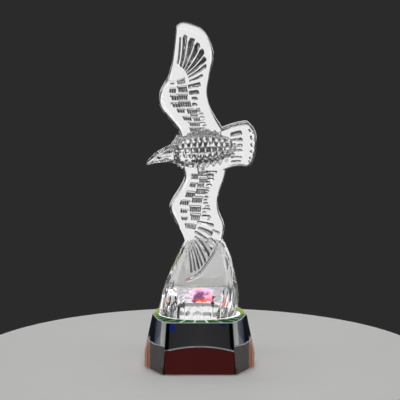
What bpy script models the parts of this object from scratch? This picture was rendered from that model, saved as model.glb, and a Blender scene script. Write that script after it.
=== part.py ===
# Crystal eagle trophy: a cast crystal eagle on a fluted foot, standing on a faceted crystal base.
# Metres, +Z up. The origin is the middle of the base's underside, and the carved face looks along -Y.

import math

import bmesh
import bpy
from mathutils import Vector

# Base
BASE_WIDTH = 0.1104
BASE_DEPTH = 0.0910
LOWER_HEIGHT = 0.0295
UPPER_HEIGHT = 0.0235
TOP_WIDTH = 0.0944
TOP_DEPTH = 0.0760
FRONT_WIDTH_TOP = 0.0660
FRONT_WIDTH_FOOT = 0.0730
CORNER_WIDTH_TOP = 0.0830
CORNER_DEPTH_TOP = 0.0490
CORNER_WIDTH = 0.0998
CORNER_DEPTH = 0.0390
JOINT_CORNER_WIDTH = 0.0900
JOINT_CORNER_DEPTH = 0.0620
SIDE_FLAT = 0.0180
SIDE_CUT_HEIGHT = 0.0140
SIDE_CUT = 0.0037
PANEL_DROP = 0.0048
EDGE_BEVEL = 0.0007
JOINT_GAP = 0.0003

# Casting
CASTING_HEIGHT = 0.2968
FOOT_WIDTH = 0.0790
FOOT_DEPTH = 0.0530
FLUTES = 26
FLUTE_DEPTH = 0.0011
WING_THICKNESS = 0.0120
WING_EDGE = 0.0036
TIP_LEAN = 0.0030
TAIL_THICKNESS = 0.0110
BODY_THICKNESS = 0.0300
GROOVE_DEPTH = 0.0030
FAN_PROUD = 0.0036
SCALE_HEIGHT = 0.0015

# Shares of the wing's thickness at its leading and trailing edge, and at its root and tip
LEAD_SHARE = 1.18
TRAIL_SHARE = 0.82
ROOT_SHARE = 1.25
TIP_SHARE = 0.80
TAIL_ROOT_SHARE = 1.5
# Shares of the casting's height: where the upper wing starts to lean back, where the lower wing
# starts to come forward, and over how much it does so
LEAN_START = 0.70
FAN_START = 0.36
FAN_BLEND = 0.12
# The flutes fade out over the foot's height, from full depth at the first share to none at the second:
# low down on the front and back, higher up at the sides.
FRONT_FLUTE_FADE = (0.07, 0.17)
SIDE_FLUTE_FADE = (0.10, 0.60)
# How far to the side a flute lies before it starts to reach higher, and over how much it does so
SIDE_START = 0.4
SIDE_BLEND = 0.4

# The figure's pose, in hundredths of the casting's height from the middle of its underside.
# Each wing row is one line of feathers: leading edge, end of the coverts and trailing edge, as (x, z).
UPPER_WING = (
    ((-6.1, 58.5), (1.2, 59.2), (9.6, 59.9)),
    ((-7.1, 63.5), (0.5, 63.3), (7.2, 64.7)),
    ((-10.6, 68.0), (-0.3, 67.5), (5.2, 67.9)),
    ((-13.2, 71.7), (-1.3, 71.6), (3.1, 72.1)),
    ((-13.4, 75.8), (-2.4, 75.4), (2.4, 76.8)),
    ((-12.0, 79.0), (-3.4, 79.4), (3.5, 82.3)),
    ((-11.0, 80.5), (-4.3, 82.0), (4.7, 89.6)),
    ((-10.4, 81.8), (-5.0, 83.9), (1.2, 97.2)),
    ((-10.0, 83.2), (-6.5, 85.3), (-5.1, 100.0)),
    ((-9.6, 84.7), (-9.0, 87.3), (-7.7, 98.6)),
)
LOWER_WING = (
    ((-6.2, 52.6), (1.5, 52.6), (9.6, 52.6)),
    ((-5.0, 47.6), (1.7, 47.3), (8.4, 47.1)),
    ((-6.5, 43.8), (1.3, 43.3), (7.2, 44.0)),
    ((-8.9, 40.0), (0.8, 39.5), (6.1, 40.1)),
    ((-10.1, 36.6), (0.4, 35.9), (6.4, 35.8)),
    ((-8.6, 32.8), (-0.2, 32.1), (8.4, 29.5)),
    ((-6.4, 29.5), (-1.2, 29.0), (6.1, 22.6)),
    ((-5.1, 26.4), (-2.0, 26.4), (3.0, 17.4)),
    ((-4.8, 24.2), (-2.9, 24.3), (-0.3, 13.5)),
    ((-4.8, 22.4), (-4.3, 20.2), (-4.7, 11.9)),
)
TAIL = (
    ((7.2, 64.0), (12.3, 65.8), (16.8, 66.4)),
    ((7.2, 60.6), (12.6, 61.4), (18.9, 62.3)),
    ((7.2, 57.1), (12.6, 57.7), (19.2, 57.5)),
    ((7.2, 53.7), (12.6, 54.0), (18.1, 53.1)),
    ((7.9, 49.9), (12.3, 51.3), (16.6, 50.6)),
)
# The head from the neck to the tip of the beak: x, top z, bottom z, thickness.
HEAD = (
    (-1.0, 61.5, 50.0, 9.0),
    (-3.2, 60.9, 49.9, 8.8),
    (-5.9, 60.4, 50.6, 8.1),
    (-8.6, 59.0, 52.0, 6.4),
    (-11.3, 57.6, 52.4, 5.1),
    (-14.0, 56.2, 52.2, 3.7),
    (-15.7, 54.8, 51.8, 2.5),
    (-17.0, 53.5, 51.5, 1.5),
    (-17.8, 52.3, 51.4, 0.8),
)
# The eye's hollow and the mouth line: x, level between the head's top (1) and bottom (-1), reach along
# the head, reach across it, and depth as a share of the head's thickness there.
EYE = (-11.6, 0.40, 2.2, 0.24, 0.42)
MOUTH = (-13.0, -0.38, 3.2, 0.18, 0.30)
BODY_CENTRE = (1.9, 57.0)
BODY_LENGTH = 24.0
BODY_HEIGHT = 13.2
# The foot's outline: height, sideways shift of its middle, and its half width and half depth as
# shares of those at the bottom.
FOOT = (
    (0.0, -0.4, 0.99, 1.00),
    (2.2, -0.3, 1.00, 0.88),
    (5.7, 0.2, 0.98, 0.67),
    (9.6, 0.5, 0.93, 0.45),
    (14.5, 0.9, 0.82, 0.37),
    (19.4, 1.4, 0.70, 0.32),
    (22.4, 1.6, 0.60, 0.27),
    (24.4, 1.6, 0.53, 0.20),
    (26.0, 1.5, 0.47, 0.12),
)

# Places along a feather, from the leading edge (0) to the trailing edge (1). Carving is cut at the
# steps that lie between a pit's or a slot's two ends.
CHORD_STEPS = (0.0, 0.05, 0.14, 0.22, 0.31, 0.40, 0.44, 0.55, 0.66, 0.76, 0.84, 0.93, 1.0)
TAIL_STEPS = (0.0, 0.30, 0.45, 0.58, 0.66, 0.86, 1.0)
COVERT_END = 0.45
# How far in the rounded edges reach: along a feather, then in rows of feathers
RIM = 0.14
TRAIL_RIM = 0.10
TIP_RIM = 0.34
TAIL_RIM = 0.14
# The tail's outer feathers are shorter: over how many rows, and by what share
TAIL_CORNER = (0.8, 0.14)
FIRST_PIT = (0.22, 0.40)
SECOND_PIT = (0.44, 0.66)
ARM_SLOT = (0.66, 0.84)
HAND_SLOT = (0.44, 0.88)
TAIL_SLOT = (0.30, 0.66)
PIT_SHARE = 0.7
HAND_TILE_SHARE = 0.25
WRIST = 0.53
UNCUT_TIP = 0.4
CUTS_A_ROW = 6
SHARP_ANGLE = 25


def smooth_between(points, place):
    """The point at a place along a smooth curve through the points, one unit from each to the next."""
    last = len(points) - 1
    index = min(int(place), last - 1)
    t = place - index
    p0, p1, p2, p3 = (points[max(0, min(last, index + step))] for step in (-1, 0, 1, 2))
    blend = []
    for a, b, c, d in zip(p0, p1, p2, p3):
        blend.append(b + 0.5 * t * (c - a + t * (2 * a - 5 * b + 4 * c - d + t * (3 * (b - c) + d - a))))
    return blend


def feather_point(rows, place, chord):
    """A point of a wing or tail, in metres: along its rows of feathers, then along the feather."""
    ends = []
    for side in range(3):
        ends.append(smooth_between([row[side] for row in rows], place))
    lead, middle, trail = ends
    weight_lead = (chord - COVERT_END) * (chord - 1) / COVERT_END
    weight_middle = chord * (1 - chord) / (COVERT_END * (1 - COVERT_END))
    weight_trail = chord * (chord - COVERT_END) / (1 - COVERT_END)
    x, z = (weight_lead * a + weight_middle * b + weight_trail * c for a, b, c in zip(lead, middle, trail))
    return x * CASTING_HEIGHT / 100, z * CASTING_HEIGHT / 100


def ease(value):
    value = max(0.0, min(1.0, value))
    return value * value * (3 - 2 * value)


def mix(start, end, share):
    return start + (end - start) * share


def foot_section(height):
    """Middle, half width and half depth of the foot at a height in metres above its underside."""
    share = height / CASTING_HEIGHT * 100
    rows = FOOT
    index = 0
    while index < len(rows) - 2 and rows[index + 1][0] < share:
        index += 1
    low, high = rows[index], rows[index + 1]
    place = index + max(0.0, min(1.0, (share - low[0]) / (high[0] - low[0])))
    shift, wide, deep = smooth_between([row[1:] for row in rows], place)
    return shift * CASTING_HEIGHT / 100, wide * FOOT_WIDTH / 2, deep * FOOT_DEPTH / 2


def foot_front(x, z):
    """How far the foot's front stands before the middle plane at a point of its outline."""
    if z > FOOT[-1][0] * CASTING_HEIGHT / 100:
        return 0.0
    shift, wide, deep = foot_section(z)
    across = max(-0.95, min(0.95, (x - shift) / wide))
    return deep * math.sqrt(1 - across * across)


def inside(chord, span):
    """Whether a place along a feather lies between a span's two ends, not on them."""
    return span[0] + 0.001 < chord < span[1] - 0.001


def wing_carving(column, chord, ends):
    """Depth of the carving, from 0 to 1, at a column of the wing's cells, counted from the body."""
    place = column / CUTS_A_ROW
    if place > ends - UNCUT_TIP:
        return 0.0
    if place > WRIST * ends:
        if column % 3:
            return 0.0
        if inside(chord, HAND_SLOT):
            return 1.0
        return HAND_TILE_SHARE if inside(chord, FIRST_PIT) else 0.0
    if inside(chord, ARM_SLOT):
        return float(column % 2)
    if inside(chord, FIRST_PIT) and column % 4 in (0, 3):
        return PIT_SHARE
    if inside(chord, SECOND_PIT) and column % 4 in (1, 2):
        return PIT_SHARE
    return 0.0


def wing_half_thickness(place, chord, ends, thickness):
    """Half the thickness of a wing before carving: rounded edges, thicker at the leading edge."""
    full = thickness * mix(LEAD_SHARE, TRAIL_SHARE, chord) * mix(ROOT_SHARE, TIP_SHARE, place / ends)
    edge = min(1.0, chord / RIM, (1 - chord) / TRAIL_RIM, (ends - place) / TIP_RIM)
    return 0.5 * mix(WING_EDGE, full, math.sqrt(edge * (2 - edge))), 0.5 * full


def new_object(name, bm, material, collection, rounded=True):
    mesh = bpy.data.meshes.new(name)
    bmesh.ops.recalc_face_normals(bm, faces=bm.faces)
    bm.to_mesh(mesh)
    bm.free()
    mesh.materials.append(material)
    if rounded:
        mesh.shade_smooth()
        mesh.set_sharp_from_angle(angle=math.radians(SHARP_ANGLE))
    thing = bpy.data.objects.new(name, mesh)
    collection.objects.link(thing)
    return thing


def slab(rows_count, steps_count):
    """A flat box of cells: whole numbers for the places of its points along, across and through it."""
    bm = bmesh.new()
    bmesh.ops.create_grid(bm, x_segments=rows_count, y_segments=steps_count, size=0.5)
    for vert in bm.verts:
        vert.co = Vector((round((vert.co.x + 0.5) * rows_count), round((vert.co.y + 0.5) * steps_count), 0))
    raised = bmesh.ops.extrude_face_region(bm, geom=list(bm.faces), use_keep_orig=True)
    for item in raised["geom"]:
        if isinstance(item, bmesh.types.BMVert):
            item.co.z = 1
    return bm


def wing(name, rows, lean, material, collection):
    """A carved wing: slots and tiles on the front, the same slots half as deep on the back."""
    ends = len(rows) - 1
    bm = slab(ends * CUTS_A_ROW, len(CHORD_STEPS) - 1)
    for vert in bm.verts:
        place = vert.co.x / CUTS_A_ROW
        chord = CHORD_STEPS[round(vert.co.y)]
        front = vert.co.z > 0.5
        x, z = feather_point(rows, place, chord)
        half, full_half = wing_half_thickness(place, chord, ends, WING_THICKNESS)
        cut = GROOVE_DEPTH * wing_carving(round(vert.co.x), chord, ends)
        middle = lean(x, z, full_half)
        depth = middle - half + cut if front else middle + half - 0.5 * cut
        vert.co = Vector((x, depth, z))
    return new_object(name, bm, material, collection)


def tail(name, rows, material, collection):
    ends = len(rows) - 1
    bm = slab(ends * CUTS_A_ROW, len(TAIL_STEPS) - 1)
    for vert in bm.verts:
        place = vert.co.x / CUTS_A_ROW
        chord = TAIL_STEPS[round(vert.co.y)]
        front = vert.co.z > 0.5
        from_side = min(place, ends - place)
        corner = max(0.0, 1 - from_side / TAIL_CORNER[0])
        x, z = feather_point(rows, place, chord * (1 - TAIL_CORNER[1] * corner * corner))
        edge = min(1.0, (1 - chord) / TAIL_RIM, from_side / TIP_RIM)
        full = TAIL_THICKNESS * mix(TAIL_ROOT_SHARE, 1, chord)
        half = 0.5 * mix(WING_EDGE, full, math.sqrt(edge * (2 - edge)))
        carved = round(vert.co.x) % 3 == 0 and inside(chord, TAIL_SLOT) and from_side > TIP_RIM
        cut = 0.8 * GROOVE_DEPTH if carved else 0.0
        depth = cut - half if front else half - 0.5 * cut
        vert.co = Vector((x, depth, z))
    return new_object(name, bm, material, collection)


def body(name, material, collection, rings=14, sides=21):
    """An egg covered in scales: each cell of its skin rises to a point, in rows that spiral round it."""
    bm = bmesh.new()
    bmesh.ops.create_uvsphere(bm, u_segments=sides, v_segments=rings, radius=1)
    cells = [face for face in bm.faces if len(face.verts) == 4]
    peaks = set(bmesh.ops.poke(bm, faces=cells)["verts"])
    scale = CASTING_HEIGHT / 100
    for vert in bm.verts:
        bump = SCALE_HEIGHT if vert in peaks else 0.0
        along = math.acos(max(-1.0, min(1.0, vert.co.normalized().z)))
        around = math.atan2(vert.co.y, vert.co.x) + along * rings / sides
        length = math.cos(along)
        slim = 1 - 0.12 * length
        width = math.sin(along) * slim
        height = (BODY_HEIGHT / 2 * scale + bump) * width * math.cos(around)
        depth = (BODY_THICKNESS / 2 + bump) * width * math.sin(around)
        x = BODY_CENTRE[0] * scale + BODY_LENGTH / 2 * scale * length
        vert.co = Vector((x, depth, BODY_CENTRE[1] * scale + height + 0.05 * (x - BODY_CENTRE[0] * scale)))
    return new_object(name, bm, material, collection)


def hollow(x, level, mark, bend=1.0):
    """How deep one of the head's hollows is at a place on its side; it fades out all round."""
    middle, middle_level, reach, reach_across, depth = mark
    along = (x - middle) / reach
    across = (level - middle_level * bend) / reach_across
    return depth * math.exp(-along * along - across * across)


def head(name, material, collection, rings=16, sides=14):
    """The head and beak: oval sections along a curve, hollowed under the brow and along the mouth."""
    bm = bmesh.new()
    bmesh.ops.create_uvsphere(bm, u_segments=sides, v_segments=rings, radius=1)
    scale = CASTING_HEIGHT / 100
    for vert in bm.verts:
        along = math.acos(max(-1.0, min(1.0, vert.co.z))) / math.pi
        around = math.atan2(vert.co.y, vert.co.x)
        x, top, bottom, thick = smooth_between(HEAD, along * (len(HEAD) - 1))
        closing = 0.0 if along in (0.0, 1.0) else min(1.0, math.sqrt(min(along, 1 - along) / 0.04))
        level = math.cos(around)
        eye = hollow(x, level, EYE)
        mouth = hollow(x, level, MOUTH, bend=ease((x - HEAD[-2][0]) / 6))
        height = (top + bottom) / 2 + (top - bottom) / 2 * level * closing
        depth = thick / 2 * math.sin(around) * closing * (1 - eye - mouth)
        vert.co = Vector((x, depth, height)) * scale
    bmesh.ops.remove_doubles(bm, verts=bm.verts, dist=1e-6)
    return new_object(name, bm, material, collection)


def fluted_foot(name, material, collection, rings=7, sides_a_flute=4):
    """A bell of oval sections whose wall is pressed into flutes that fade upwards."""
    bm = bmesh.new()
    sides = FLUTES * sides_a_flute
    bmesh.ops.create_cone(bm, cap_ends=True, segments=sides, radius1=1, radius2=1, depth=1)
    uprights = [edge for edge in bm.edges if abs(edge.verts[0].co.z - edge.verts[1].co.z) > 0.5]
    bmesh.ops.subdivide_edges(bm, edges=uprights, cuts=rings - 1, use_grid_fill=False)
    top = FOOT[-1][0] * CASTING_HEIGHT / 100
    for vert in bm.verts:
        height = (vert.co.z + 0.5) * top
        angle = math.atan2(vert.co.y, vert.co.x)
        shift, wide, deep = foot_section(height)
        aside = ease((abs(math.cos(angle)) - SIDE_START) / SIDE_BLEND)
        start, end = (mix(low, high, aside) for low, high in zip(FRONT_FLUTE_FADE, SIDE_FLUTE_FADE))
        fade = ease((end - height / top) / (end - start))
        valley = 1 - abs(math.sin(angle * FLUTES / 2))
        press = FLUTE_DEPTH * fade * valley
        x = shift + (wide - press) * math.cos(angle)
        vert.co = Vector((x, (deep - press) * math.sin(angle), height))
    return new_object(name, bm, material, collection)


def flat_wing(x, z, half):
    """The upper wing's middle surface leans back a little towards its tip."""
    return TIP_LEAN * ease((z / CASTING_HEIGHT - LEAN_START) / (1 - LEAN_START))


def wing_on_foot(x, z, half):
    """The lower wing's middle surface comes forward to lie on the front of the foot."""
    proud = foot_front(x, z) + FAN_PROUD - half
    reach = ease((FAN_START - z / CASTING_HEIGHT) / FAN_BLEND)
    return -max(0.0, proud) * reach


def crystal_eagle(materials, collection, shapes):
    """The whole casting: body, wings, tail, head and foot joined into one solid."""
    clear = materials["clear_crystal"]
    eagle = body("crystal_eagle", clear, collection)
    pieces = [
        wing("upper_wing_shape", UPPER_WING, flat_wing, clear, shapes),
        wing("lower_wing_shape", LOWER_WING, wing_on_foot, clear, shapes),
        tail("tail_shape", TAIL, clear, shapes),
        head("head_shape", clear, shapes),
        fluted_foot("foot_shape", clear, shapes),
    ]
    base_top = LOWER_HEIGHT + UPPER_HEIGHT
    eagle.location.z = base_top + JOINT_GAP
    for piece in pieces:
        piece.location.z = eagle.location.z
        piece.hide_render = True
        piece.display_type = "WIRE"
        join = eagle.modifiers.new(piece.name, "BOOLEAN")
        join.operation = "UNION"
        join.solver = "EXACT"
        join.object = piece
    return eagle


def corners(half_width, half_depth, height):
    """The four mirror images of one corner."""
    return [Vector((sx * half_width, sy * half_depth, height)) for sx in (-1, 1) for sy in (-1, 1)]


def base_blank(name, material, collection):
    """The faceted block that both tiers are cut from: the hull of its corners."""
    joint = LOWER_HEIGHT
    top = LOWER_HEIGHT + UPPER_HEIGHT
    points = corners(FRONT_WIDTH_FOOT / 2, BASE_DEPTH / 2, 0)
    points += corners(CORNER_WIDTH / 2, CORNER_DEPTH / 2, 0)
    points += corners(CORNER_WIDTH / 2, CORNER_DEPTH / 2, joint)
    points += corners(JOINT_CORNER_WIDTH / 2, JOINT_CORNER_DEPTH / 2, joint)
    points += corners(BASE_WIDTH / 2, SIDE_FLAT / 2, 0)
    points += corners(BASE_WIDTH / 2, SIDE_FLAT / 2, joint - SIDE_CUT_HEIGHT)
    points += corners(BASE_WIDTH / 2 - SIDE_CUT, 0, joint)
    points += corners(FRONT_WIDTH_TOP / 2, TOP_DEPTH / 2, top)
    points += corners(CORNER_WIDTH_TOP / 2, CORNER_DEPTH_TOP / 2, top)
    points += corners(TOP_WIDTH / 2, 0, top)
    bm = bmesh.new()
    for point in points:
        bm.verts.new(point)
    bmesh.ops.remove_doubles(bm, verts=bm.verts, dist=1e-6)
    bmesh.ops.convex_hull(bm, input=bm.verts)
    inside = [vert for vert in bm.verts if not vert.link_faces]
    bmesh.ops.delete(bm, geom=inside, context="VERTS")
    bmesh.ops.dissolve_limit(bm, angle_limit=0.001, verts=bm.verts, edges=bm.edges)
    rims = []
    for edge in bm.edges:
        low, high = sorted(vert.co.z for vert in edge.verts)
        if low == high and low in (0, top):
            rims.append(edge)
    bmesh.ops.bevel(bm, geom=rims, offset=EDGE_BEVEL, affect="EDGES", segments=1, profile=0.5)
    return new_object(name, bm, material, collection, rounded=False)


def joint_profile(top, arc_steps=12):
    """The joint between the tiers seen from the front: level, with a shallow arch under the front panel."""
    lowest = (LOWER_HEIGHT - PANEL_DROP) / (LOWER_HEIGHT + UPPER_HEIGHT)
    half = mix(FRONT_WIDTH_FOOT, FRONT_WIDTH_TOP, lowest) / 2
    line = [(-BASE_WIDTH, 0.0), (-half, 0.0)]
    for step in range(arc_steps + 1):
        across = 2 * step / arc_steps - 1
        line.append((half * across, -PANEL_DROP * across * across - 0.0002))
    line += [(half, 0.0), (BASE_WIDTH, 0.0)]
    return [(x, top + z) for x, z in line]


def joint_cutter(name, level, reach, material, collection):
    """A block that ends at the joint profile, to take off what lies beyond it."""
    outline = bpy.data.curves.new(name, "CURVE")
    outline.dimensions = "2D"
    outline.fill_mode = "BOTH"
    outline.extrude = BASE_DEPTH
    spline = outline.splines.new("POLY")
    points = joint_profile(level)
    points += [(BASE_WIDTH, level + reach), (-BASE_WIDTH, level + reach)]
    spline.points.add(len(points) - 1)
    for place, (x, z) in zip(spline.points, points):
        place.co = (x, z, 0, 1)
    spline.use_cyclic_u = True
    curve = bpy.data.objects.new(name + "_outline", outline)
    collection.objects.link(curve)
    curve.rotation_euler.x = math.pi / 2
    bpy.context.view_layer.update()
    mesh = bpy.data.meshes.new_from_object(curve.evaluated_get(bpy.context.evaluated_depsgraph_get()))
    bm = bmesh.new()
    bm.from_mesh(mesh)
    bmesh.ops.remove_doubles(bm, verts=bm.verts, dist=1e-6)
    cutter = new_object(name, bm, material, collection)
    cutter.matrix_world = curve.matrix_world.copy()
    bpy.data.objects.remove(curve)
    bpy.data.meshes.remove(mesh)
    cutter.hide_render = True
    cutter.display_type = "WIRE"
    return cutter


def base_blocks(materials, collection, cutters):
    """The two tiers, each cut from the same faceted blank."""
    blocks = []
    for name, slot, gap, reach in (
        ("lower_base_block", "red_brown_crystal", -JOINT_GAP / 2, UPPER_HEIGHT + BASE_DEPTH),
        ("upper_base_block", "smoky_crystal", JOINT_GAP / 2, -LOWER_HEIGHT - BASE_DEPTH),
    ):
        block = base_blank(name, materials[slot], collection)
        cutter = joint_cutter(name + "_cutter", LOWER_HEIGHT + gap, reach, materials[slot], cutters)
        cut = block.modifiers.new("joint", "BOOLEAN")
        cut.operation = "DIFFERENCE"
        cut.solver = "EXACT"
        cut.object = cutter
        blocks.append(block)
    return blocks


def make_materials():
    """Clear lead crystal, smoky crystal with a coated top, and red-brown crystal."""
    looks = {
        "clear_crystal": ((0.94, 0.95, 0.96, 1), 0.02, 1.0),
        "smoky_crystal": ((0.03, 0.035, 0.04, 1), 0.05, 0.3),
        "red_brown_crystal": ((0.09, 0.02, 0.018, 1), 0.06, 0.2),
    }
    made = {}
    for name, (colour, roughness, clear) in looks.items():
        material = bpy.data.materials.new(name)
        material.use_nodes = True
        shader = material.node_tree.nodes["Principled BSDF"]
        shader.inputs["Base Color"].default_value = colour
        shader.inputs["Roughness"].default_value = roughness
        shader.inputs["Metallic"].default_value = 0
        shader.inputs["Transmission Weight"].default_value = clear
        made[name] = material
    return made


def main():
    for thing in list(bpy.data.objects):
        bpy.data.objects.remove(thing)
    trophy = bpy.data.collections.new("crystal_eagle_trophy")
    cutters = bpy.data.collections.new("cutters")
    for collection in (trophy, cutters):
        bpy.context.scene.collection.children.link(collection)
    materials = make_materials()
    crystal_eagle(materials, trophy, cutters)
    base_blocks(materials, trophy, cutters)


main()
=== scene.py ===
import math

import bmesh
import bpy
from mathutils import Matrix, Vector


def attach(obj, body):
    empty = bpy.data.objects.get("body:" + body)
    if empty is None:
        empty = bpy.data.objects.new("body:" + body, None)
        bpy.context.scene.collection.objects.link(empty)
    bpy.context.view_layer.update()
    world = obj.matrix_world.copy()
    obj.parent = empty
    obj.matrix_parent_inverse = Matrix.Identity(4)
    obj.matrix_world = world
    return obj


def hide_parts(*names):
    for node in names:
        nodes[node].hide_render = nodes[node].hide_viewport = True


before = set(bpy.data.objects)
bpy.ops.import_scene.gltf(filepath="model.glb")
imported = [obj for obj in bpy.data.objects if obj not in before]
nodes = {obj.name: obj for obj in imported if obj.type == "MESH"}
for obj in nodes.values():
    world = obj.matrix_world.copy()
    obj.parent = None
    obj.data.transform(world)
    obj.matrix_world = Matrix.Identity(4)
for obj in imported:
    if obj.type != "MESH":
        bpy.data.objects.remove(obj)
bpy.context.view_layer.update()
print("stage: frame loaded")


# Helpers

def hexColour(text):
    parts = [int(text[i:i + 2], 16) / 255 for i in (1, 3, 5)]  # sRGB to linear
    return [c / 12.92 if c <= 0.04045 else ((c + 0.055) / 1.055) ** 2.4 for c in parts] + [1.0]


def addNode(tree, kind, settings=None, inputs=None):
    node = tree.nodes.new(kind)
    for name, value in (settings or {}).items():
        setattr(node, name, value)
    for name, value in (inputs or {}).items():  # by name or number, a value or the output to link
        if isinstance(value, bpy.types.NodeSocket):
            tree.links.new(value, node.inputs[name])
        else:
            node.inputs[name].default_value = value
    return node


def newMaterial(name):
    material = bpy.data.materials.new(name)
    material.use_nodes = True
    tree = material.node_tree
    return material, tree, tree.nodes["Principled BSDF"]


def ease(value):
    value = max(0.0, min(1.0, value))
    return value * value * (3 - 2 * value)


def mix(start, end, share):
    return start + (end - start) * share


def window(value, start, end, soft):
    return ease((value - start) / soft) * ease((end - value) / soft)


def smoothBetween(points, place):
    last = len(points) - 1
    index = min(int(place), last - 1)
    t = place - index
    p0, p1, p2, p3 = (points[max(0, min(last, index + step))] for step in (-1, 0, 1, 2))
    blend = []
    for a, b, c, d in zip(p0, p1, p2, p3):
        blend.append(b + 0.5 * t * (c - a + t * (2 * a - 5 * b + 4 * c - d + t * (3 * (b - c) + d - a))))
    return blend


def slab(rowsCount, stepsCount):
    bm = bmesh.new()  # a closed flat box of cells, its corners on whole numbers
    bmesh.ops.create_grid(bm, x_segments=rowsCount, y_segments=stepsCount, size=0.5)
    for vert in bm.verts:
        vert.co = Vector((round((vert.co.x + 0.5) * rowsCount), round((vert.co.y + 0.5) * stepsCount), 0))
    raised = bmesh.ops.extrude_face_region(bm, geom=list(bm.faces), use_keep_orig=True)
    for item in raised["geom"]:
        if isinstance(item, bmesh.types.BMVert):
            item.co.z = 1
    return bm


def newObject(name, bm):
    mesh = bpy.data.meshes.new(name)
    bmesh.ops.recalc_face_normals(bm, faces=bm.faces)
    bm.to_mesh(mesh)
    bm.free()
    thing = bpy.data.objects.new(name, mesh)
    bpy.context.scene.collection.objects.link(thing)
    return thing


# The casting. The figures in its tables are hundredths of its height, as (x, z) or as named.

casting = {
    "height": 0.2968,
    "underside": 0.0533,
    "wingThickness": 0.0120,
    "chordShares": (1.18, 0.82),  # of that thickness, at the leading and at the trailing edge
    "spanShares": (1.25, 0.80),  # and at the wing's root and tip
    "edgeShare": 0.68,  # thickness at the rim as a share of the thickness inside it
    "tipLean": 0.0030,  # how far the upper wing leans back at its tip, and from which share of the height
    "leanFrom": 0.70,
    "fanProud": 0.0036,  # how far the lower wing stands before the foot
    "fanFrom": 0.36,  # where it starts to come forward, and over how much it does so
    "fanBlend": 0.12,
    "finestCell": 0.012,  # lines of the mesh closer than this, in rows, are one line
    "coverts": 0.45,  # where along a feather the middle point of a row lies
    "smoothAngle": 50,
}
unit = casting["height"] / 100

upperWing = {
    "rows": (
        ((-6.1, 58.5), (1.2, 59.2), (9.6, 59.9)),
        ((-7.1, 63.5), (0.5, 63.3), (7.2, 64.7)),
        ((-10.6, 68.0), (-0.3, 67.5), (5.2, 67.9)),
        ((-13.2, 71.7), (-1.3, 71.6), (3.1, 72.1)),
        ((-13.4, 75.8), (-2.4, 75.4), (2.4, 76.8)),
        ((-12.0, 79.0), (-3.4, 79.4), (3.5, 82.3)),
        ((-11.0, 80.5), (-4.3, 82.0), (4.7, 89.6)),
        ((-10.4, 81.8), (-5.0, 83.9), (1.2, 97.2)),
        ((-10.0, 83.2), (-6.5, 85.3), (-5.1, 99.9)),
        ((-9.6, 84.7), (-9.0, 87.3), (-7.7, 98.6)),
    ),
    "upwards": 1,  # the rows count upwards here
    "tipEdge": 0.68,  # thickness at the tip's rim as a share of the thickness inside it
    "rimGroove": (5.0, 0.9625, 0.019, 0.0004),  # from which row, where along the feather, half width, depth
    # each slot: row, half width in rows, where it starts and ends along the feather
    "slots": (
        (0.45, 0.07, 0.5, 0.7), (0.75, 0.06, 0.5, 0.66), (1.08, 0.08, 0.5, 0.68),
        (1.29, 0.06, 0.46, 0.58), (1.51, 0.07, 0.5, 0.62), (1.75, 0.06, 0.46, 0.6),
        (1.98, 0.07, 0.48, 0.62), (2.19, 0.06, 0.47, 0.6), (2.48, 0.06, 0.48, 0.6),
        (2.67, 0.09, 0.44, 0.54), (2.88, 0.08, 0.47, 0.54), (3.27, 0.16, 0.4, 0.5),
        (3.8, 0.15, 0.42, 0.55), (4.29, 0.17, 0.4, 0.62), (4.81, 0.18, 0.41, 0.7),
        (5.35, 0.12, 0.46, 0.78), (5.8, 0.14, 0.47, 0.86), (6.2, 0.16, 0.46, 0.87),
        (6.6, 0.19, 0.45, 0.88), (7.05, 0.2, 0.45, 0.88), (7.5, 0.2, 0.45, 0.89),
        (7.95, 0.18, 0.45, 0.9), (8.37, 0.12, 0.46, 0.88),
    ),
    # each ribbed pit: row, half width in rows, start, end
    "pits": (
        (0.35, 0.16, 0.22, 0.4), (0.76, 0.16, 0.16, 0.29), (0.8, 0.15, 0.33, 0.48),
        (1.19, 0.18, 0.23, 0.46), (1.62, 0.18, 0.25, 0.46), (2.03, 0.17, 0.35, 0.48),
        (2.06, 0.19, 0.21, 0.32), (2.33, 0.11, 0.34, 0.46), (2.68, 0.25, 0.3, 0.46),
        (2.72, 0.2, 0.18, 0.27), (3.22, 0.25, 0.13, 0.22), (3.32, 0.28, 0.22, 0.38),
        (3.85, 0.25, 0.12, 0.22), (3.94, 0.27, 0.2, 0.37), (4.5, 0.27, 0.1, 0.2),
        (4.63, 0.33, 0.22, 0.38), (5.39, 0.2, 0.09, 0.18), (5.6, 0.45, 0.23, 0.4),
    ),
}

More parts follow.
